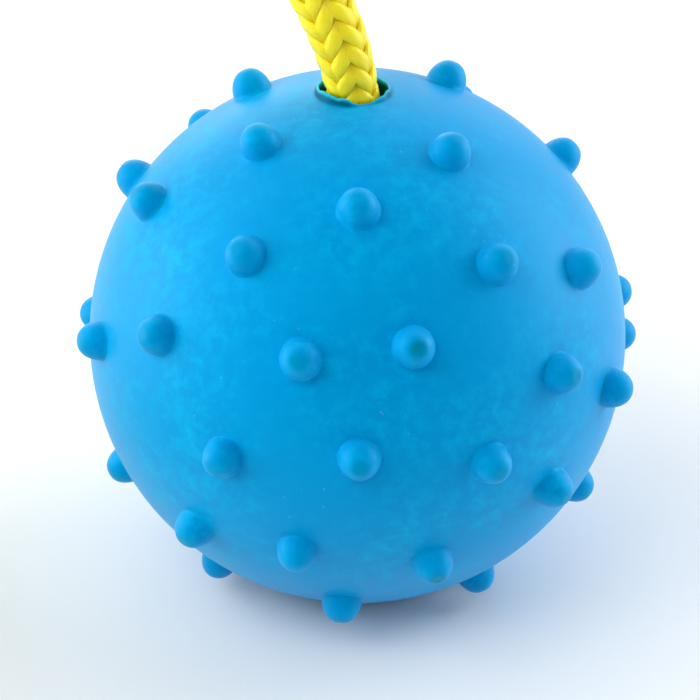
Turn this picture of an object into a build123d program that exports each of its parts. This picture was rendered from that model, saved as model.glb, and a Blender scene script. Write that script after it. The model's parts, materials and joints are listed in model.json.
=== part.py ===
from build123d import *
import math
import os

os.makedirs("parts", exist_ok=True)

# A knobbly rubber throwing ball on a braided rope with a hand loop, lying as if just put down.
# Millimetres and degrees. The origin is on the floor under the ball's centre. +Z runs up the bore,
# -Y is the front and +X the right-hand side.

# The ball
ball_r = 35.0  # the round body, without its nubs
bore_r = 4.7
bore_lip_r = 0.4  # rounding of the bore's upper edge
recess_r = 12.0  # the pocket in the underside that hides the stopper knot
recess_top = 29.0  # height of the pocket's ceiling above the floor
recess_lip_r = 0.6

# One nub: a rounded cone on the ball's surface
nub_height = 3.1
nub_flat_r = 0.3  # the small flat at its tip
nub_edge_r = 1.7  # rounding from the flat to the side
nub_draft = 19.0  # how far the side leans in
nub_root = 1.5  # how far it reaches below the surface, inside the ball

# Where the nubs stand: latitude above the ball's equator, longitude from the front towards the right
ring_nubs = [(65, -50), (62.5, 45), (65, 127), (65, -119.5)]
upper_nubs = [
    (54, 1), (55, 180), (41.5, -74), (42, -30), (38, 37), (36, 109.5), (40, 149), (34, 172),
    (30, -162), (36, -136), (33, -106), (28.5, 62.5), (26, 12), (24, -12), (21.5, -47),
]
middle_nubs = [
    (12.5, 45.5), (10.5, -70), (0.5, 64.5), (2, 104), (12, 131), (12, 155), (12, 180), (12, -155),
    (12, -129), (-0.5, -102.5), (4.5, 0), (1.5, -27.5), (-0.5, 26.5), (-13.5, 44), (-6, 99.5),
    (-12, 122), (-12, 144), (-12, 168), (-12, -168), (-12, -144), (-12, -121),
]
lower_nubs = [
    (-20, -13.5), (-21, -38.5), (-25.5, 16), (-27.5, -81), (-34.5, 79), (-36, 110), (-36, 139),
    (-36, 168), (-36, -163), (-36, -134), (-36, -106), (-46, -6), (-56, 50), (-53, -62),
]
stand_latitude = -62  # the lowest four, which the ball stands on
stand_nubs = [(stand_latitude, longitude) for longitude in (76, 145, -145, -80)]

# The rope
rope_r = 3.5
run_start = 60.0  # height in the bore where the free run begins
knot_play = 0.5  # between the stopper knot and the pocket's ceiling
stopper_r = 10.8
stopper_height = 19.0
stopper_edge_r = 5.0
tail_length = 4.5  # of rope under the stopper knot
seal_length = 1.6  # melted end of the rope
seal_edge_r = 1.0

# The free run: out of the bore, over to the left and back, and down to the loop knot on the floor
run_points = [
    (0, 0, run_start), (0, 0, 71), (-6, 2, 86), (-15.5, 9, 98), (-32, 18.5, 105), (-50, 28, 101),
    (-65, 34, 86), (-72.5, 36.5, 67), (-75, 34.5, 48.5), (-75.7, 31, 31.5), (-76.5, 22.4, 18.6),
    (-77.2, 8.5, 13), (-77.2, -4, 13),
]

# The loop knot: a barrel that lies along Y, with two ropes in its back and two in its front
loop_knot_r = 13.0
loop_knot_edge_r = 4.0
loop_knot_back = (-81.0, -4.0, 13.0)
loop_knot_length = 27.0

# The hand loop on the floor, from the right of the knot's front round to the left of it
loop_points = [
    (-77.2, -31, 13), (-77.2, -43, 13), (-74.5, -57, 7.5), (-68, -72, 3.5), (-61.5, -87, 3.5),
    (-61.5, -102.5, 3.5), (-71, -115.5, 3.5), (-86.5, -120.8, 3.5), (-102, -116, 3.5),
    (-111.5, -102.8, 3.5), (-111.5, -87, 3.5), (-102.5, -72.5, 4), (-91.5, -58, 8),
    (-84.8, -43.5, 13), (-84.8, -31, 13),
]

# The short tail beside the free run, from the left of the knot's back
tail_points = [(-84.8, -4, 13), (-84.8, 8, 13), (-87.5, 19, 9.5), (-92.5, 29, 5.5)]


def support_height():
    """Height of the ball's centre over the floor, from the rounded edge of a lowest nub's tip."""
    lean = math.radians(-stand_latitude)
    edge_centre = ball_r + nub_height - nub_edge_r
    return edge_centre * math.sin(lean) + nub_flat_r * math.cos(lean) + nub_edge_r


ball_z = support_height()
bore_top = ball_z + math.sqrt(ball_r**2 - bore_r**2)
recess_mouth = ball_z - math.sqrt(ball_r**2 - recess_r**2)
stopper_top = recess_top - knot_play
stopper_bottom = stopper_top - stopper_height
tail_bottom = stopper_bottom - tail_length


def nub():
    """One nub standing on its own axis, with the ball's surface at height zero."""
    draft = math.radians(nub_draft)
    edge_z = nub_height - nub_edge_r
    side_r = nub_flat_r + nub_edge_r * math.cos(draft)
    side_z = edge_z + nub_edge_r * math.sin(draft)
    middle = math.radians((90 + nub_draft) / 2)
    edge_middle = (nub_flat_r + nub_edge_r * math.cos(middle), edge_z + nub_edge_r * math.sin(middle))
    root_r = side_r + (side_z + nub_root) * math.tan(draft)
    outline = [
        Line((0, -nub_root), (root_r, -nub_root)),
        Line((root_r, -nub_root), (side_r, side_z)),
        ThreePointArc((side_r, side_z), edge_middle, (nub_flat_r, nub_height)),
        Line((nub_flat_r, nub_height), (0, nub_height)),
        Line((0, nub_height), (0, -nub_root)),
    ]
    return revolve(Plane.XZ * make_face(outline), Axis.Z)


def nub_plane(latitude, longitude):
    """A plane on the ball's surface, square to the radius there."""
    up, around = math.radians(latitude), math.radians(longitude)
    way = Vector(math.cos(up) * math.sin(around), -math.cos(up) * math.cos(around), math.sin(up))
    return Plane(origin=Vector(0, 0, ball_z) + way * ball_r, z_dir=way)


def rubber_ball():
    """The moulded ball with its nubs, the bore for the rope and the pocket for the stopper knot."""
    up = (Align.CENTER, Align.CENTER, Align.MIN)
    ball = Pos(0, 0, ball_z) * Sphere(ball_r)
    ball -= Pos(0, 0, -ball_r) * Cylinder(recess_r, recess_top + ball_r, align=up)
    ball -= Cylinder(bore_r, 3 * ball_r, align=up)
    mouths = ball.edges().filter_by(GeomType.CIRCLE)
    upper = [e for e in mouths if abs(e.radius - bore_r) < 0.01 and e.center().Z > ball_z]
    ball = fillet(upper, bore_lip_r)
    lower = [
        e for e in ball.edges().filter_by(GeomType.CIRCLE)
        if abs(e.radius - recess_r) < 0.01 and e.center().Z < recess_top - 1
    ]
    ball = fillet(lower, recess_lip_r)
    places = ring_nubs + upper_nubs + middle_nubs + lower_nubs + stand_nubs
    one = nub()
    return ball + [nub_plane(*place) * one for place in places]


def upright(radius, bottom, top):
    """A plain round stretch of rope up the bore's axis."""
    up = (Align.CENTER, Align.CENTER, Align.MIN)
    return Pos(0, 0, bottom) * Cylinder(radius, top - bottom, align=up)


def stopper_knot():
    knot = upright(stopper_r, stopper_bottom, stopper_top)
    return fillet(knot.edges().filter_by(GeomType.CIRCLE), stopper_edge_r)


def sealed_end():
    """The rope's melted end, standing up from height zero."""
    end = Cylinder(rope_r, seal_length, align=(Align.CENTER, Align.CENTER, Align.MIN))
    return fillet(end.edges().filter_by(GeomType.CIRCLE).sort_by(Axis.Z)[-1], seal_edge_r)


def rope_path(name, points):
    """Straight runs joined by tangent arcs, each as large as its two runs allow."""
    corners = [Vector(*p) for p in points]
    runs = [b - a for a, b in zip(corners, corners[1:])]
    radii = []
    for before, after in zip(runs, runs[1:]):
        turn = math.radians(before.get_angle(after))
        radii.append(0.45 * min(before.length, after.length) / math.tan(turn / 2))
    print(name, "runs", [round(r.length, 1) for r in runs])
    print(name, "radii", [round(r, 1) for r in radii])
    return FilletPolyline(*corners, radius=radii)


def rope_tube(name, points):
    """A plain tube along the route, with its volume compared with section times length."""
    path = rope_path(name, points)
    tube = sweep(Plane(origin=path @ 0, z_dir=path % 0) * Circle(rope_r), path=path)
    plain = math.pi * rope_r**2 * path.length
    print(name, "length", round(path.length, 1), "volume against section x length", round(tube.volume / plain, 4))
    return tube


def loop_knot():
    x, y, z = loop_knot_back
    barrel = Plane(origin=(x, y, z), z_dir=(0, -1, 0)) * Cylinder(
        loop_knot_r, loop_knot_length, align=(Align.CENTER, Align.CENTER, Align.MIN)
    )
    return fillet(barrel.edges().filter_by(GeomType.CIRCLE), loop_knot_edge_r)


def loop_tail_seal():
    """The melted end of the tail, face to face with the tail's cut."""
    last, before = Vector(*tail_points[-1]), Vector(*tail_points[-2])
    return Plane(origin=last, z_dir=last - before) * sealed_end()


parts = {
    "rubber_ball": rubber_ball(),
    "rope_bore_run": upright(rope_r, stopper_top, run_start),
    "stopper_knot": stopper_knot(),
    "stopper_tail": upright(rope_r, tail_bottom, stopper_bottom),
    "stopper_tail_seal": Plane(origin=(0, 0, tail_bottom), z_dir=(0, 0, -1)) * sealed_end(),
    "rope_free_run": rope_tube("rope_free_run", run_points),
    "loop_knot": loop_knot(),
    "hand_loop": rope_tube("hand_loop", loop_points),
    "loop_tail": rope_tube("loop_tail", tail_points),
    "loop_tail_seal": loop_tail_seal(),
}

for name, shape in parts.items():
    export_step(shape, f"parts/{name}.step")

print("ball centre", round(ball_z, 2), "bore top", round(bore_top, 2), "recess mouth", round(recess_mouth, 2))
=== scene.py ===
"""A knobbly rubber ball on a braided rope, in metres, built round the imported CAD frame."""

import json
import math

import bpy
import numpy as np
from mathutils import Matrix, Vector, geometry


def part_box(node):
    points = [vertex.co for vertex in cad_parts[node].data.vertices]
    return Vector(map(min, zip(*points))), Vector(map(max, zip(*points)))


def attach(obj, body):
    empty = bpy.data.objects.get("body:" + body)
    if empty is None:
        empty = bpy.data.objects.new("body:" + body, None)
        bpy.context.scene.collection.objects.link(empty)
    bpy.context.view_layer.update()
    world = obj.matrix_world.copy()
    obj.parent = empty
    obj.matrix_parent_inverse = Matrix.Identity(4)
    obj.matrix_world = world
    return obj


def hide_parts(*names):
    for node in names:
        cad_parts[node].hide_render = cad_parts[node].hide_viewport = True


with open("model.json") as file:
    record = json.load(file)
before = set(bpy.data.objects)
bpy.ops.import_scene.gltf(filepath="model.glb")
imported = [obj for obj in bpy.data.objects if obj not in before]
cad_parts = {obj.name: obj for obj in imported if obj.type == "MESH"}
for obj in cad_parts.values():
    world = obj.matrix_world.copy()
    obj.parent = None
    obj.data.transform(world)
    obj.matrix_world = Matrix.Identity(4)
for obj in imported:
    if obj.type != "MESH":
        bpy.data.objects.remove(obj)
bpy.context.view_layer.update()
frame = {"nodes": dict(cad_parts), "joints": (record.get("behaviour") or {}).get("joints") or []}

MM = 0.001
rng = np.random.default_rng(7)

# The ball
ball_centre = np.array(frame["joints"][0]["pos_m"], float)
ball_r = 35 * MM
nub_height = 3.1 * MM
nub_base_r = 2.58 * MM
nub_patch_r = 3.3 * MM  # the patch of surface that one nub's own rings cover
nub_turn = math.radians(4)  # directions nearer together than this belong to one nub
nub_steps = 40  # points round one nub
deep_hollow = 0.30 * MM  # the deepest hollow in a nub's tip
hollow_nub = (math.radians(26), math.radians(12))  # that nub's place, up from the equator and to the right
bore_patch_r = 5.9 * MM  # the plain surface ends here, round the bore above
pocket_patch_r = 12.8 * MM  # and here, round the pocket below
pocket_r = 12.0 * MM
plain_gap = 1.1 * MM  # between the plain surface's points
rim_steps = 160  # points round the bore and round the pocket

# The rope
rope_r = 3.5 * MM
strands_each_way = 8
strand_pitch = 2.75 * MM  # from one strand to the next that runs the same way, along the rope
strand_half_width = 1.00 * MM
strand_half_thickness = 0.44 * MM
weave_depth = 0.30 * MM  # how far a strand dips where it passes under
rope_step = 0.5 * MM  # between the rope's cross-sections
rope_turn = math.radians(-8)  # turns the braid's columns round the rope
mouth_place = 8 * MM  # from the free run's start to where the bore's mouth pinches it
mouth_pinch = 0.11  # the share of its width that the rope loses there

# Colours
rubber_blue = (0.0, 0.308, 0.688)
rubber_bloom = (0.0, 0.444, 0.812)
rubber_worn_and_shade = (0.0, 0.230, 0.370)  # worn teal tint and painted shade in the hollows of the nubs' tips
rubber_bore_shade = (0.0, 0.072, 0.105)  # painted shade in the bore and on the outside of the torn edge round it
rubber_edge_highlight = (0.020, 0.560, 0.720)  # painted highlight along the top of that edge
rubber_dust = (0.20, 0.60, 0.85)
rope_bright = (1.0, 0.890, 0.017)
rope_deep = (0.93, 0.760, 0.005)
# painted shade in the weave's crevices and on the core, also the darker filament lines
rope_shade_and_grain = (0.76, 0.540, 0.001)
melted_yellow = (0.72, 0.520, 0.012)
melted_brown = (0.30, 0.150, 0.010)

# The rope's route, in metres: the CAD tubes' own points, with the first few moved within the bore's play
run_points = [
    (0.0003, -0.0006, 0.060), (0.0006, -0.0010, 0.071), (-0.0061, 0.0014, 0.086),
    (-0.0158, 0.009, 0.098), (-0.032, 0.0185, 0.105), (-0.050, 0.028, 0.101),
    (-0.065, 0.034, 0.086), (-0.0725, 0.0365, 0.067), (-0.075, 0.0345, 0.0485),
    (-0.0757, 0.031, 0.0315), (-0.0765, 0.0224, 0.0186), (-0.0772, 0.0085, 0.013),
    (-0.0772, -0.004, 0.013),
]
loop_points = [
    (-0.0772, -0.031, 0.013), (-0.0772, -0.043, 0.013), (-0.0745, -0.057, 0.0075),
    (-0.068, -0.072, 0.0035), (-0.0615, -0.087, 0.0035), (-0.0615, -0.1025, 0.0035),
    (-0.071, -0.1155, 0.0035), (-0.0865, -0.1208, 0.0035), (-0.102, -0.116, 0.0035),
    (-0.1115, -0.1028, 0.0035), (-0.1115, -0.087, 0.0035), (-0.1025, -0.0725, 0.004),
    (-0.0915, -0.058, 0.008), (-0.0848, -0.0435, 0.013), (-0.0848, -0.031, 0.013),
]
tail_points = [
    (-0.0848, -0.004, 0.013), (-0.0848, 0.008, 0.013), (-0.0875, 0.019, 0.0095),
    (-0.0925, 0.029, 0.0055),
]

# The light: each softbox's name, place, size and power in watts, then the room's brightness behind the ball
# and on the camera's side
softboxes = [
    ("left", (-0.62, -0.12, 0.42), (0.70, 0.80), 3.46),
    ("left_low", (-0.66, 0.05, 0.15), (0.50, 0.28), 1.15),
    ("right", (0.66, 0.22, 0.34), (0.45, 0.60), 2.79),
    ("right_low", (0.66, 0.0, 0.15), (0.50, 0.28), 1.15),
    ("behind", (0.0, 0.80, 0.45), (1.20, 0.60), 1.25),
    ("behind_low", (-0.20, 0.80, 0.22), (0.50, 0.25), 0.60),
    ("front_left", (-0.42, -0.50, 0.76), (0.50, 0.50), 2.2),
    ("front", (0.0, -0.65, 0.78), (0.80, 0.60), 2.1),
]
room_back, room_front = 0.98, 0.0

# The knots
knot_squeeze = 0.87  # how near two stretches of a knot may come, against the rope's width
rope_gap = 3.8 * MM  # each rope's distance from the loop knot's own axis
knot_drop = 0.45 * MM  # how far the stopper knot hangs under the CAD barrel's place, clear of the ceiling
slack_gap = 3.7 * MM  # each rope's distance from the doubled knot's middle line, while it is slack


# ---------------------------------------------------------------- materials

def new_material(name):
    """A material with its principled shader and a function that adds nodes."""
    material = bpy.data.materials.new(name)
    material.use_nodes = True
    nodes, links = material.node_tree.nodes, material.node_tree.links
    shader = nodes["Principled BSDF"]

    def add(kind, inputs=None, **settings):
        node = nodes.new(kind)
        for key, value in settings.items():
            setattr(node, key, value)
        for key, value in (inputs or {}).items():
            if isinstance(value, bpy.types.NodeSocket):
                links.new(value, node.inputs[key])
            else:
                node.inputs[key].default_value = value
        return node

    return material, shader, add, links


def ramp(add, factor, stops):
    """A colour ramp through the stops, each (place, colour or grey)."""
    node = add("ShaderNodeValToRGB", {"Fac": factor})
    elements = node.color_ramp.elements
    while len(elements) < len(stops):
        elements.new(0.5)
    for element, (place, colour) in zip(elements, stops):
        element.position = place
        element.color = (colour,) * 3 + (1,) if isinstance(colour, (int, float)) else (*colour, 1)
    return node.outputs["Color"]


def mixed(add, factor, a, b, blend="MIX"):
    """Colour a turning into colour b as factor goes from 0 to 1."""
    node = add("ShaderNodeMix", data_type="RGBA", blend_type=blend)
    for key, value in ((0, factor), (6, a), (7, b)):  # the sockets for the factor and the two colours
        if isinstance(value, bpy.types.NodeSocket):
            node.id_data.links.new(value, node.inputs[key])
        else:
            node.inputs[key].default_value = value if key == 0 else (*value, 1)
    return node.outputs[2]


def rubber():
    """Matt blue rubber: mottled bloom, dust specks, worn tips with painted shade in their hollows, and a
    dark bore with a torn edge: painted shade in the bore and on the edge's outer side, and a painted
    highlight along its top.
    """
    material, shader, add, links = new_material("blue_rubber")
    place = add("ShaderNodeTexCoord").outputs["Object"]
    cloud = add("ShaderNodeTexNoise", {"Vector": place, "Scale": 70, "Detail": 5, "Roughness": 0.6})
    mottle = add("ShaderNodeTexNoise", {"Vector": place, "Scale": 520, "Detail": 6, "Roughness": 0.75})
    bloom = mixed(add, 1.0, ramp(add, cloud.outputs[0], [(0.40, 0.15), (0.66, 1.0)]),
                  ramp(add, mottle.outputs[0], [(0.44, 0.0), (0.68, 1.0)]), "MULTIPLY")
    base = mixed(add, bloom, rubber_blue, rubber_bloom)
    patchy = ramp(add, mottle.outputs[0], [(0.36, 0.5), (0.56, 1.0)])
    # painted shade: the hollows in the nubs' tips turn darker teal, along with a worn tint, strongest in the
    # deepest hollow
    tip = add("ShaderNodeAttribute", attribute_name="tip").outputs["Fac"]
    worn_and_shade = mixed(add, 1.0, patchy, tip, "MULTIPLY")
    base = mixed(add, worn_and_shade, base, rubber_worn_and_shade)
    # painted shade: dark teal down the bore and on the outer side of the torn edge
    teal = add("ShaderNodeAttribute", attribute_name="teal").outputs["Fac"]
    base = mixed(add, teal, base, rubber_bore_shade)
    # painted highlight along the top of the torn edge round the bore
    flash = add("ShaderNodeAttribute", attribute_name="flash").outputs["Fac"]
    base = mixed(add, flash, base, rubber_edge_highlight)
    specks = add("ShaderNodeTexVoronoi", {"Vector": place, "Scale": 620})
    dust = ramp(add, specks.outputs["Distance"], [(0.05, 1.0), (0.10, 0.0)])
    patch = add("ShaderNodeTexNoise", {"Vector": place, "Scale": 120, "Detail": 2})
    dust = mixed(add, 1.0, dust, ramp(add, patch.outputs[0], [(0.54, 0.0), (0.68, 0.40)]), "MULTIPLY")
    base = mixed(add, dust, base, rubber_dust)
    links.new(base, shader.inputs["Base Color"])
    rough = ramp(add, mottle.outputs[0], [(0.35, 0.36), (0.70, 0.50)])
    links.new(rough, shader.inputs["Roughness"])
    grain = add("ShaderNodeTexNoise", {"Vector": place, "Scale": 2600, "Detail": 3})
    uneven = add("ShaderNodeTexNoise", {"Vector": place, "Scale": 240, "Detail": 5})
    heights = add("ShaderNodeMath", {0: grain.outputs[0], 1: 0.3}, operation="MULTIPLY")
    heights = add("ShaderNodeMath", {0: uneven.outputs[0], 1: heights.outputs[0]}, operation="ADD")
    bump = add("ShaderNodeBump", {"Height": heights.outputs[0], "Strength": 0.4, "Distance": 0.00012})
    links.new(bump.outputs["Normal"], shader.inputs["Normal"])
    shader.inputs["Specular IOR Level"].default_value = 0.25
    shader.inputs["Specular Tint"].default_value = (0.0, 0.70, 1.0, 1)
    return material


def polypropylene():
    """Glossy yellow strands, each a flat bundle of fine filaments that lie along it, with painted shade
    where a strand dips under the others and on the core.
    """
    material, shader, add, links = new_material("yellow_rope")
    place = add("ShaderNodeTexCoord").outputs["Object"]
    across = add("ShaderNodeAttribute", attribute_name="across").outputs["Fac"]
    wander = add("ShaderNodeTexNoise", {"Vector": place, "Scale": 500, "Detail": 2})
    shifted = add("ShaderNodeMath", {0: wander.outputs[0], 1: 0.5, 2: across}, operation="MULTIPLY_ADD")
    wave = add("ShaderNodeMath", {0: shifted.outputs[0], 1: 24.0}, operation="MULTIPLY")
    wave = add("ShaderNodeMath", {0: wave.outputs[0]}, operation="SINE")
    lines = add("ShaderNodeMapRange", {"Value": wave.outputs[0], "From Min": -1.0, "From Max": 1.0})
    tone = add("ShaderNodeTexNoise", {"Vector": place, "Scale": 300, "Detail": 4, "Roughness": 0.6})
    yellow = mixed(add, ramp(add, tone.outputs[0], [(0.35, 0.0), (0.65, 1.0)]), rope_deep, rope_bright)
    # painted shade: darker where a strand dips under the others, darkest on the core
    depth = add("ShaderNodeAttribute", attribute_name="depth").outputs["Fac"]
    yellow = mixed(add, depth, rope_shade_and_grain, yellow)
    # darker filament lines along each strand
    fine = add("ShaderNodeMath", {0: lines.outputs[0], 1: 0.08}, operation="MULTIPLY")
    yellow = mixed(add, fine.outputs[0], yellow, rope_shade_and_grain)
    links.new(yellow, shader.inputs["Base Color"])
    bump = add("ShaderNodeBump", {"Height": lines.outputs[0], "Strength": 0.3, "Distance": 0.00005})
    links.new(bump.outputs["Normal"], shader.inputs["Normal"])
    shader.inputs["Roughness"].default_value = 0.44
    shader.inputs["Specular IOR Level"].default_value = 0.4
    return material


def melted_plastic():
    """The rope's own plastic where it has run together: darker, glossy and a little scorched."""
    material, shader, add, links = new_material("melted_end")
    place = add("ShaderNodeTexCoord").outputs["Object"]
    burn = add("ShaderNodeTexNoise", {"Vector": place, "Scale": 420, "Detail": 4})
    colour = mixed(add, ramp(add, burn.outputs[0], [(0.48, 0.0), (0.72, 1.0)]),
                   melted_yellow, melted_brown)
    links.new(colour, shader.inputs["Base Color"])
    bump = add("ShaderNodeBump", {"Height": burn.outputs[0], "Strength": 0.4, "Distance": 0.0002})
    links.new(bump.outputs["Normal"], shader.inputs["Normal"])
    shader.inputs["Roughness"].default_value = 0.24
    return material


def pale_floor():
    material, shader, *_ = new_material("pale_floor")
    shader.inputs["Base Color"].default_value = (0.86, 0.88, 0.885, 1)
    shader.inputs["Roughness"].default_value = 0.6
    shader.inputs["Specular IOR Level"].default_value = 0.2
    return material


# ---------------------------------------------------------------- mesh helpers

def mesh_object(name, points, faces, material, attributes=None):
    """A smooth mesh object in metres. attributes maps a name to one number for each point."""
    mesh = bpy.data.meshes.new(name)
    mesh.from_pydata([tuple(p) for p in points], [], faces)
    mesh.validate()
    mesh.shade_smooth()
    mesh.materials.append(material)
    for key, values in (attributes or {}).items():
        layer = mesh.attributes.new(key, "FLOAT", "POINT")
        layer.data.foreach_set("value", np.asarray(values, np.float32))
    obj = bpy.data.objects.new(name, mesh)
    bpy.context.scene.collection.objects.link(obj)
    return obj


def ring_faces(lower, upper, count):
    """Quads between two rings of count points each, which start at these two indices."""
    return [(lower + i, lower + (i + 1) % count, upper + (i + 1) % count, upper + i) for i in range(count)]


def unit(vectors):
    return vectors / np.linalg.norm(vectors, axis=-1, keepdims=True)


def along(points):
    """The distance along a line at each of its points."""
    return np.concatenate([[0], np.cumsum(np.linalg.norm(np.diff(points, axis=0), axis=1))])


def evenly(points, count):
    """The same line with count points, evenly spaced."""
    place = along(points)
    wanted = np.linspace(0, place[-1], count)
    return np.stack([np.interp(wanted, place, points[:, k]) for k in range(3)], 1)


# ---------------------------------------------------------------- the ball

def nub_axes():
    """Each nub's direction from the ball's centre, read from the CAD ball's tips."""
    mesh = frame["nodes"]["rubber_ball"].data
    points = np.zeros(len(mesh.vertices) * 3)
    mesh.vertices.foreach_get("co", points)
    reach = points.reshape(-1, 3) - ball_centre
    tips = reach[np.linalg.norm(reach, axis=1) > ball_r + nub_height - 0.05 * MM]
    ways = unit(tips)
    axes = []
    while len(ways):
        near = ways @ ways[0] > math.cos(nub_turn)
        axes.append(unit(ways[near].mean(0)))
        ways = ways[~near]
    return np.array(axes)


def way_to(up, right):
    """The direction this far above the ball's equator, and this far from the front towards the right."""
    return np.array([math.cos(up) * math.sin(right), -math.cos(up) * math.cos(right), math.sin(up)])


def nub_rise(out, dish):
    """A nub's height over the ball at this distance from its axis: a dome with a worn hollow in its tip."""
    rise = nub_height * math.sqrt(max(0.0, 1 - (out / nub_base_r) ** 2.1)) - max(0.0, out - nub_base_r)
    crease = 0.06 * MM
    rise = 0.5 * (rise + math.sqrt(rise**2 + crease**2)) - 0.4 * crease
    return max(0.0, rise - dish * math.exp(-((out / (0.75 * MM)) ** 2)))


def ragged(angle):
    """The moulding flash round the bore: how much of its full height it has at this angle."""
    waves = ((2, 0.08, 0.4), (5, 0.09, 2.1), (9, 0.08, 5.0), (17, 0.05, 1.3), (31, 0.04, 3.9))
    height = 1.0 + sum(a * np.sin(n * angle + p) for n, a, p in waves)
    from_rope = np.angle(np.exp(1j * (angle - math.radians(-72))))  # the rope has pressed it flat here
    height *= 1 - 0.92 * np.exp(-((from_rope / math.radians(22)) ** 4))
    from_left = np.angle(np.exp(1j * (angle - math.radians(-130))))  # and pushed it up beside itself here
    height += 0.30 * np.exp(-((from_left / math.radians(26)) ** 2))
    from_right = np.angle(np.exp(1j * (angle - math.radians(20))))  # it is low on the right
    height *= 1 - 0.50 * np.exp(-((from_right / math.radians(60)) ** 4))
    from_corner = np.angle(np.exp(1j * (angle - math.radians(-22))))  # a torn corner stands up here
    height += 0.35 * np.exp(-((from_corner / math.radians(7)) ** 2))
    return np.clip(height, 0.04, 1.5)


def bore_profile():
    """The hole's rings from the outside in, in millimetres. Over the surface: (radius, height, painted
    highlight along the edge, painted dark teal shade). Down to the pocket and its lip: (radius, height over
    the floor)."""
    collar = [
        (5.30, 0.00, 0.0, 0.0), (5.02, 0.02, 0.0, 0.3), (4.87, 0.08, 0.0, 0.8), (4.78, 0.24, 0.0, 0.9),
        (4.68, 0.46, 0.0, 0.8), (4.60, 0.62, 0.4, 0.3), (4.52, 0.72, 0.9, 0.0), (4.43, 0.74, 1.0, 0.0),
        (4.34, 0.62, 0.8, 0.1), (4.30, 0.30, 0.2, 0.7), (4.36, -0.30, 0.0, 1.0), (4.52, -1.20, 0.0, 1.0),
        (4.70, -3.0, 0.0, 1.0),
    ]
    down = [
        (4.7, 52.0), (4.7, 40.0), (4.75, 29.3), (5.0, 29.0), (7.0, 29.0), (9.5, 29.0), (11.3, 29.0),
        (11.8, 28.7), (12.0, 28.2), (12.0, 20.0), (12.0, 12.0), (12.0, 6.0), (12.0, 3.0), (12.0, 2.3),
        (12.06, 1.85), (12.2, 1.5), (12.45, 1.36),
    ]
    return collar, down


def fill_points(axes):
    """Directions for the plain surface between the nubs, the bore and the pocket, on a golden spiral."""
    count = int(4 * math.pi * ball_r**2 / plain_gap**2)
    k = np.arange(count) + 0.5
    z = 1 - 2 * k / count
    angle = k * math.pi * (3 - math.sqrt(5))
    flat = np.sqrt(1 - z**2)
    ways = np.stack([flat * np.cos(angle), flat * np.sin(angle), z], 1)
    clear = (ways @ axes.T).max(1) < math.cos((nub_patch_r + 0.55 * plain_gap) / ball_r)
    out = flat * ball_r
    clear &= ~((z > 0) & (out < bore_patch_r + 0.5 * plain_gap))
    clear &= ~((z < 0) & (out < pocket_patch_r + 0.5 * plain_gap))
    return ways[clear]


def nub_points(axes):
    """Every nub's rings of points about the ball's centre, and at each point the share of worn tint and
    painted shade in its tip's hollow.
    """
    rings = [0, 0.2, 0.4, 0.6, 0.8, 1.0, 1.2, 1.4, 1.55, 1.7, 1.85, 2.0, 2.13, 2.25, 2.35, 2.44, 2.51, 2.55,
             2.58, 2.62, 2.75, 3.3]  # distances from the nub's axis, in millimetres
    points, worn_and_shade = [], []
    for axis in axes:
        side = unit(np.cross(axis, [0.3, 0.2, 1.0]))
        other = np.cross(axis, side)
        size = 1 + rng.uniform(-0.02, 0.02)
        lean = rng.normal(0, 0.05 * MM, 2)
        dish = max(0.0, rng.normal(0.13, 0.06)) * MM
        if axis @ way_to(*hollow_nub) > math.cos(nub_turn):
            dish = deep_hollow
        for step, out in enumerate(rings):
            out *= MM
            height = nub_rise(out, dish)
            count = 1 if step == 0 else 10 if step < 3 else 20 if step < 7 else nub_steps
            turn = (np.arange(count) + 0.5 * (step % 2)) * 2 * math.pi / count
            shift = lean * (height / nub_height)
            flat = (out * size * np.cos(turn) + shift[0])[:, None] * side
            flat = flat + (out * size * np.sin(turn) + shift[1])[:, None] * other
            settle = math.sqrt(ball_r**2 - (out * size) ** 2) - ball_r
            points.append(axis * (ball_r + height + settle) + flat)
            # worn tint and painted shade for the tip's hollow, stronger the deeper the hollow
            wear_and_shade = math.exp(-((out / (1.1 * MM)) ** 4)) * min(1.0, dish / deep_hollow) ** 1.5
            worn_and_shade.append(np.full(count, wear_and_shade))
    return np.concatenate(points), np.concatenate(worn_and_shade)


def ball_surface(rim):
    """The ball's outside with the nubs: points about its centre, the share of worn tint and painted shade at
    each, and the faces. The last points are the rim round the bore and then the rim round the pocket."""
    axes = nub_axes()
    nubs, worn_and_shade = nub_points(axes)
    plain = fill_points(axes) * ball_r
    rims = []
    for out, sign in ((bore_patch_r, 1), (pocket_patch_r, -1)):
        height = sign * math.sqrt(ball_r**2 - out**2)
        rims.append(np.stack([out * np.cos(rim), out * np.sin(rim), np.full(rim_steps, height)], 1))
    points = np.concatenate([nubs, plain, *rims])
    worn_and_shade = np.concatenate([worn_and_shade, np.zeros(len(points) - len(nubs))])
    ways = unit(points)
    flat = ways[:, :2] / (1 - ways[:, 2:])  # seen from the bore, the sphere without it is a flat disc
    made = geometry.delaunay_2d_cdt([Vector(p) for p in flat], [], [], 0, 1e-9)
    if len(made[0]) != len(points):
        raise RuntimeError("the ball's points merged")
    order = [source[0] for source in made[3]]
    faces = [tuple(order[i] for i in face) for face in made[2]]
    pocket = len(points) - rim_steps
    return points, worn_and_shade, [face[::-1] for face in faces if min(face) < pocket]


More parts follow.
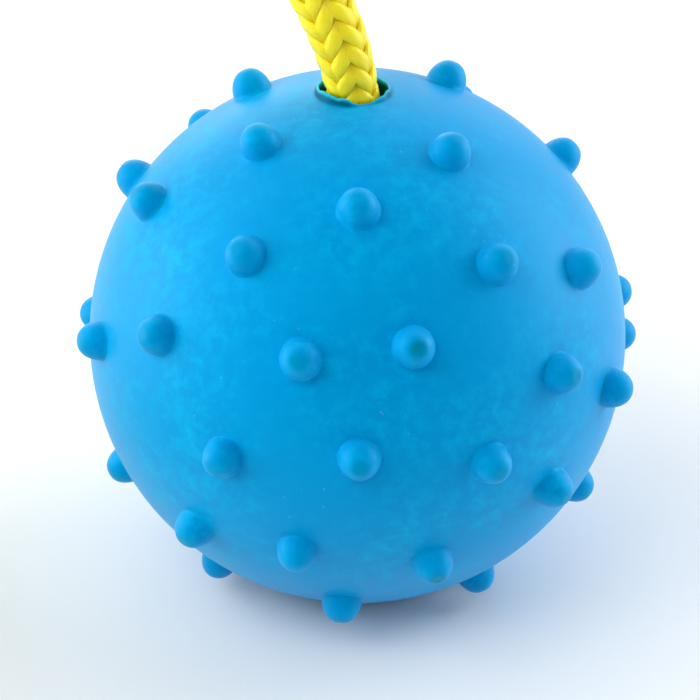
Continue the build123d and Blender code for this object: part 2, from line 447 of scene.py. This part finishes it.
def rubber_ball():
    """The moulded ball: its outside, and the bore and the pocket turned in."""
    rim = np.arange(rim_steps) * 2 * math.pi / rim_steps
    points, worn_and_shade, faces = ball_surface(rim)
    pocket = len(points) - rim_steps
    previous = pocket - rim_steps
    flash, bore_shade = [0.0] * len(points), [0.0] * len(points)
    points = list(points + ball_centre)
    collar, down = bore_profile()
    height_of = ragged(rim)
    for out, height, share, shade in collar:
        out = out * MM + (0.12 * MM * (0.8 - height_of) if share > 0.5 else 0 * height_of)
        base = ball_centre[2] + np.sqrt(ball_r**2 - out**2)
        rise = height * MM * (height_of if height > 0 else np.ones(rim_steps))
        start = len(points)
        points.extend(np.stack([out * np.cos(rim), out * np.sin(rim), base + rise], 1))
        # painted highlight along the edge's top
        flash.extend(share * np.clip(height_of, 0, 1))
        # painted shade on the edge's outer side and down into the bore
        bore_shade.extend(shade * (np.clip(height_of, 0, 1) if height > 0 else np.ones(rim_steps)))
        faces += ring_faces(previous, start, rim_steps)
        previous = start
    for out, height in down:
        start = len(points)
        points.extend([(out * MM * math.cos(a), out * MM * math.sin(a), height * MM) for a in rim])
        flash.extend([0.0] * rim_steps)
        # painted shade down the bore, fainter in the pocket
        bore_shade.extend([1.0 if out < 5 else 0.3] * rim_steps)
        faces += ring_faces(previous, start, rim_steps)
        previous = start
    faces += ring_faces(previous, pocket, rim_steps)
    worn_and_shade = np.pad(worn_and_shade, (0, len(points) - len(worn_and_shade)))
    obj = mesh_object("knobbly_ball", points, faces, rubber(), {"tip": worn_and_shade, "flash": flash, "teal": bore_shade})
    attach(obj, "ball")
    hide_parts("rubber_ball")


# ---------------------------------------------------------------- the rope's line

def route(name, points):
    """Points on the smooth curve that has these control points."""
    curve = bpy.data.curves.new(name, "CURVE")
    curve.dimensions = "3D"
    curve.resolution_u = 24
    spline = curve.splines.new("NURBS")
    spline.points.add(len(points) - 1)
    for point, place in zip(spline.points, points):
        point.co = (*place, 1)
    spline.order_u = 3
    spline.use_endpoint_u = True
    obj = bpy.data.objects.new(name, curve)
    bpy.context.scene.collection.objects.link(obj)
    bpy.context.view_layer.update()
    mesh = bpy.data.meshes.new_from_object(obj)
    line = np.array([v.co for v in mesh.vertices], float)
    bpy.data.objects.remove(obj)
    bpy.data.curves.remove(curve)
    bpy.data.meshes.remove(mesh)
    return line


def loose_knot(scale, lift):
    """An open overhand knot about the z axis, tied slack, going up."""
    t = np.linspace(-2.05, 2.05, 300)
    knot = np.stack([t**3 - 3 * t, t**4 - 4 * t**2 + lift, t**5 / 5 - 2 * t], 1) * scale
    far = abs(knot[0][2]) + 8 * MM
    return np.concatenate([
        np.linspace([0, 0, -far], knot[0], 20)[:-1], knot, np.linspace(knot[-1], [0, 0, far], 20)[1:],
    ])


def carried_normals(line, first):
    """A direction across the line at each point, which starts as first and turns as little as it can."""
    ways = unit(np.gradient(line, axis=0))
    normals = np.zeros_like(line)
    normal = np.array(first, float)
    for i, way in enumerate(ways):
        normal = unit(normal - way * (normal @ way))
        normals[i] = normal
    return ways, normals


def tighten(strings, ends, reach, within, steps):
    """Pulls slack knots tight between fixed ends. No two stretches of rope come nearer than its width there.

    ends holds each string's (x, y) at the bottom and at the top, and reach is their height. Once the knot is
    nearly tight, a line that is further than within from the axis is eased back."""
    width = 2 * rope_r * knot_squeeze
    count = len(strings[0])
    points = np.concatenate(strings)
    string = np.repeat(np.arange(len(strings)), count)
    index = np.tile(np.arange(count), len(strings))
    held = (index < 2) | (index > count - 3)
    far = points[count - 1][2]
    for step in range(steps):
        height = far + (reach - far) * min(1, step / (0.3 * steps))
        for k, (low, high) in enumerate(ends):
            line = points[k * count:(k + 1) * count]
            line[1:-1] += 0.45 * (line[:-2] + line[2:] - 2 * line[1:-1])
            line = evenly(line, count)
            gap = np.linalg.norm(line[1] - line[0])
            line[0], line[1] = (*low, -height), (*low, gap - height)
            line[-1], line[-2] = (*high, height), (*high, height - gap)
            points[k * count:(k + 1) * count] = line
        joined = (string[:, None] == string) & (abs(index[:, None] - index) * gap < 1.3 * width)
        for _ in range(2):
            apart = points[:, None] - points
            distance = np.sqrt((apart**2).sum(2)) + 1e-9
            lack = np.clip(width - distance, 0, None)
            lack[joined] = 0
            hits = np.maximum((lack > 0).sum(1), 1)
            push = (apart * (lack / distance)[..., None]).sum(1)
            push = push * (0.5 * np.minimum(hits, 3) / hits)[:, None]
            push[held] = 0
            points += push
        if step > 0.6 * steps:
            out = np.hypot(points[:, 0], points[:, 1])
            points[:, :2] *= np.clip(within / np.maximum(out, 1e-9), 0.985, 1)[:, None]
            points[:, 1] = np.maximum(points[:, 1], -within)
    return [points[k * count:(k + 1) * count] for k in range(len(strings))]


def single_knot(reach, within):
    """The stopper knot's line, going up the z axis."""
    slack = evenly(loose_knot(6.5 * MM, 3.5), 70)
    return tighten([slack], [((0, 0), (0, 0))], reach, within, 700)[0]


def doubled_knot(reach, within):
    """The loop knot's two lines side by side along z. The first starts at x = rope_gap."""
    middle = evenly(loose_knot(10 * MM, 3.5), 600)
    _, across = carried_normals(middle, (1, 0, 0))
    side = 1 if across[-1][0] > 0 else -1
    strings = [evenly(middle + across * slack_gap, 90), evenly(middle - across * slack_gap, 90)]
    ends = [((rope_gap, 0), (side * rope_gap, 0)), ((-rope_gap, 0), (-side * rope_gap, 0))]
    return tighten(strings, ends, reach, within, 800), side


def softened(line, rounds):
    """The line with its small kinks averaged away, its ends kept."""
    line = line.copy()
    for _ in range(rounds):
        line[1:-1] = 0.25 * line[:-2] + 0.5 * line[1:-1] + 0.25 * line[2:]
    return line


def rope_stretches():
    """The rope's line from under the ball to the tail, as (name, points, width against the free rope)."""
    tail_low, tail_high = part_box("stopper_tail")
    knot_low, knot_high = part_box("stopper_knot")
    middle = (knot_low.z + knot_high.z) / 2
    stopper = single_knot(knot_high.z - middle, pocket_r - rope_r - 0.2 * MM) + [0, 0, middle - knot_drop]
    run = route("run", run_points)
    loop = route("loop", loop_points)
    tail = route("tail", tail_points)
    barrel_low, barrel_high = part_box("loop_knot")
    centre = (barrel_low + barrel_high) / 2
    reach = (barrel_high.y - barrel_low.y) / 2
    (first, second), side = doubled_knot(reach, (barrel_high.x - barrel_low.x) / 2 - rope_r + 0.1 * MM)

    def laid(line):
        """The knot's own z axis points to the front, and its y axis up."""
        return np.stack([centre.x + line[:, 0], centre.y - line[:, 2], centre.z + line[:, 1]], 1)

    if side < 0:
        loop = loop[::-1]
    up = np.linspace([0, 0, knot_high.z - knot_drop], run[0], 40)
    tail_line = np.linspace([0, 0, tail_low.z], [0, 0, tail_high.z - knot_drop], 12)
    return [
        ("stopper_tail", tail_line, 0.98),
        ("stopper_knot", stopper, 0.94),
        ("bore", up, 0.94),
        ("run", run, 1.05),
        ("loop_knot_in", laid(first), 0.94),
        ("loop", loop, 1.03),
        ("loop_knot_out", laid(second)[::-1], 0.94),
        ("tail", tail, 1.0),
    ]


def whole_rope():
    """One line for the whole rope, with a frame and a width at each section, and each stretch's sections."""
    line, width, marks = [], [], []
    for name, points, share in rope_stretches():
        count = max(6, round(along(points)[-1] / rope_step))
        points = evenly(points, count + 1)
        start = sum(len(p) for p in line)
        marks.append((name, start, start + count))
        line.append(points[:-1])
        width.append(np.full(count, share))
        last = points[-1]
    line = np.concatenate([*line, [last]])
    width = np.concatenate([*width, [1.0]])
    line = softened(line, 5)
    width = np.convolve(np.pad(width, 10, "edge"), np.ones(21) / 21, "valid")
    bore = next(m for m in marks if m[0] == "bore")
    ways, normals = carried_normals(line[bore[1]:], (1, 0, 0))
    back_ways, back_normals = carried_normals(line[:bore[1] + 1][::-1], (1, 0, 0))
    ways = np.concatenate([-back_ways[::-1][:-1], ways])
    normals = np.concatenate([back_normals[::-1][:-1], normals])
    place = along(line)
    zero = place[next(m for m in marks if m[0] == "run")[1]]
    width *= 1 - mouth_pinch * np.exp(-(((place - zero - mouth_place) / (6 * MM)) ** 2))
    return {
        "line": line, "ways": ways, "normals": normals, "sides": np.cross(ways, normals),
        "width": width, "place": place - zero, "marks": {name: (a, b) for name, a, b in marks},
    }


# ---------------------------------------------------------------- the rope's braid

def strand_tube(rope, first, last, angle, way):
    """One flat strand between two sections, and how high it lies in the weave at each of its points."""
    line = rope["line"][first:last + 1]
    place = rope["place"][first:last + 1]
    turn = 2 * math.pi / (strands_each_way * strand_pitch)
    theta = angle + way * turn * place + rope_turn
    over = np.tanh(2.2 * np.cos(strands_each_way / 2 * (theta - rope_turn))) * way
    out = (rope_r - strand_half_thickness - weave_depth * (1 - over)) * rope["width"][first:last + 1]
    radial = (np.cos(theta)[:, None] * rope["normals"][first:last + 1]
              + np.sin(theta)[:, None] * rope["sides"][first:last + 1])
    centre = line + radial * out[:, None]
    tangent = unit(np.gradient(centre, axis=0))
    across = unit(np.cross(tangent, radial))
    inward = np.cross(tangent, across)
    corners = 10
    points, spread, depth = [], [], []
    for k in range(corners):
        a = 2 * math.pi * k / corners
        wide = math.copysign(abs(math.cos(a)) ** 0.8, math.cos(a)) * strand_half_width
        thick = math.copysign(abs(math.sin(a)) ** 0.9, math.sin(a)) * strand_half_thickness
        points.append(centre + across * wide + inward * thick)
        spread.append(np.full(len(line), math.cos(a)))
        # how high the strand lies in the weave, which sets its painted shade
        depth.append(0.5 + 0.5 * over)
    stack = [np.stack(values, 1).reshape(-1, *values[0].shape[1:]) for values in (points, spread, depth)]
    return (*stack, corners, len(line))


def tube_faces(start, corners, sections):
    faces = []
    for i in range(sections - 1):
        low = start + i * corners
        faces += ring_faces(low, low + corners, corners)
    faces.append(tuple(range(start + corners - 1, start - 1, -1)))
    end = start + (sections - 1) * corners
    faces.append(tuple(range(end, end + corners)))
    return faces


def braid(name, rope, stretches, material, nodes):
    """The rope between the first and last section of these stretches, as its strands round a plain core."""
    points, across, depth, faces = [], [], [], []
    start = 0
    for stretch in stretches:
        first, last = rope["marks"][stretch]
        for k in range(strands_each_way):
            for way in (1, -1):
                tube = strand_tube(rope, first, last, k * 2 * math.pi / strands_each_way, way)
                points.append(tube[0])
                across.append(tube[1])
                depth.append(tube[2])
                faces += tube_faces(start, tube[3], tube[4])
                start += len(tube[0])
        core = 12
        core_r = rope_r - 2 * strand_half_thickness - weave_depth * 1.6
        ring = np.arange(core) * 2 * math.pi / core
        section = slice(first, last + 1)
        wide = (rope["width"][section] * core_r)[:, None, None]
        normals = rope["normals"][section][:, None] * np.cos(ring)[:, None]
        sides = rope["sides"][section][:, None] * np.sin(ring)[:, None]
        tube = (rope["line"][section][:, None] + wide * (normals + sides)).reshape(-1, 3)
        points.append(tube)
        # the core between the strands gets the full painted shade
        across.append(np.zeros(len(tube)))
        depth.append(np.zeros(len(tube)))
        faces += tube_faces(start, core, last + 1 - first)
        start += len(tube)
    attributes = {"across": np.concatenate(across), "depth": np.concatenate(depth)}
    obj = mesh_object(name, np.concatenate(points), faces, material, attributes)
    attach(obj, "rope")
    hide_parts(*nodes)
    return obj


def melted_end(name, at, way, node, material):
    """The sealed end: a lumpy bead a little wider than the rope's core, domed over. Its profile is in
    millimetres, as (radius, height)."""
    way = unit(np.array(way, float))
    side = unit(np.cross(way, [0.2, 0.9, 0.3]))
    other = np.cross(way, side)
    steps = 32
    ring = np.arange(steps) * 2 * math.pi / steps
    profile = [
        (2.2, -1.0), (3.05, -0.7), (3.45, -0.1), (3.5, 0.5), (3.2, 1.0), (2.5, 1.3), (1.6, 1.42),
        (0.8, 1.38),
    ]
    points, faces = [], []
    phase = rng.uniform(0, 2 * math.pi, 3)
    for k, (out, height) in enumerate(profile):
        lumps = 1 + 0.05 * np.sin(3 * ring + phase[0] + 0.4 * k) + 0.03 * np.sin(7 * ring + phase[1] + k)
        rise = 0.12 * np.sin(2 * ring + phase[2]) * (out / 3.5)
        wide = (out * lumps * MM)[:, None]
        points.extend(at + wide * (np.cos(ring)[:, None] * side + np.sin(ring)[:, None] * other)
                      + ((height + rise) * MM)[:, None] * way)
        if k:
            faces += ring_faces((k - 1) * steps, k * steps, steps)
    faces.append(tuple(range(steps - 1, -1, -1)))
    faces.append(tuple(range(len(points) - steps, len(points))))
    obj = mesh_object(name, points, faces, material)
    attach(obj, "rope")
    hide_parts(node)
    return obj


def build_rope():
    rope = whole_rope()
    yellow, melted = polypropylene(), melted_plastic()
    braid("braid_stopper_tail", rope, ["stopper_tail"], yellow, ["stopper_tail"])
    braid("braid_stopper_knot", rope, ["stopper_knot"], yellow, ["stopper_knot"])
    braid("braid_in_bore", rope, ["bore"], yellow, ["rope_bore_run"])
    run = braid("braid_free_run", rope, ["run"], yellow, ["rope_free_run"])
    knot = braid("braid_loop_knot", rope, ["loop_knot_in", "loop_knot_out"], yellow, ["loop_knot"])
    loop = braid("braid_hand_loop", rope, ["loop"], yellow, ["hand_loop"])
    tail = braid("braid_loop_tail", rope, ["tail"], yellow, ["loop_tail"])
    line = rope["line"]
    melted_end("sealed_end_under_ball", line[0], line[0] - line[4], "stopper_tail_seal", melted)
    seal = melted_end("sealed_end_of_tail", line[-1], line[-1] - line[-5], "loop_tail_seal", melted)

    def stretch(name):
        first, last = rope["marks"][name]
        return line[first:last + 1]


# ---------------------------------------------------------------- stage, light and camera

def area_light(name, place, aim, size, power):
    light = bpy.data.lights.new(name, "AREA")
    light.shape = "RECTANGLE"
    light.size, light.size_y = size
    light.energy = power
    obj = bpy.data.objects.new(name, light)
    obj.location = place
    obj.rotation_euler = (Vector(aim) - Vector(place)).to_track_quat("-Z", "Y").to_euler()
    bpy.context.scene.collection.objects.link(obj)


def studio():
    """A pale floor among softboxes on the left, on the right, behind and high in front. The room is bright
    behind the ball and dark on the camera's side."""
    half = 6.0
    corners = [(-half, -half, 0), (half, -half, 0), (half, half, 0), (-half, half, 0)]
    floor = mesh_object("floor", corners, [(0, 1, 2, 3)], pale_floor())
    world = bpy.data.worlds.new("studio_room")
    world.use_nodes = True
    nodes, links = world.node_tree.nodes, world.node_tree.links
    way = nodes.new("ShaderNodeTexCoord").outputs["Generated"]
    split = nodes.new("ShaderNodeSeparateXYZ")
    links.new(way, split.inputs[0])
    back = nodes.new("ShaderNodeMapRange")
    back.interpolation_type = "SMOOTHSTEP"
    for key, value in (("From Min", -0.3), ("From Max", 0.5), ("To Min", room_front), ("To Max", room_back)):
        back.inputs[key].default_value = value
    links.new(split.outputs["Y"], back.inputs["Value"])
    links.new(back.outputs[0], nodes["Background"].inputs["Strength"])
    nodes["Background"].inputs["Color"].default_value = (0.96, 0.98, 1, 1)
    scene = bpy.context.scene
    scene.world = world
    scene.view_settings.view_transform = "Standard"
    aim = tuple(ball_centre)
    for name, place, size, power in softboxes:
        area_light(name, place, aim, size, power)


def camera():
    """Looks along +Y and down, rolled a little, with the ball just above and right of the middle."""
    elevation, roll = math.radians(29.1), math.radians(0.93)
    distance = 9 * ball_r
    data = bpy.data.cameras.new("camera")
    data.sensor_width = 36  # in millimetres, like the lens
    data.lens = 123.274
    data.shift_x, data.shift_y = -0.010714, -0.021429  # in frame widths
    forward = Vector((0, math.cos(elevation), -math.sin(elevation)))
    right = Vector((1, 0, 0))
    up = right.cross(forward)
    right, up = right * math.cos(roll) - up * math.sin(roll), up * math.cos(roll) + right * math.sin(roll)
    obj = bpy.data.objects.new("camera", data)
    place = Vector(ball_centre) - forward * distance
    obj.matrix_world = Matrix.Translation(place) @ Matrix((right, up, -forward)).transposed().to_4x4()
    bpy.context.scene.collection.objects.link(obj)
    bpy.context.scene.camera = obj


camera()
studio()
rubber_ball()
build_rope()
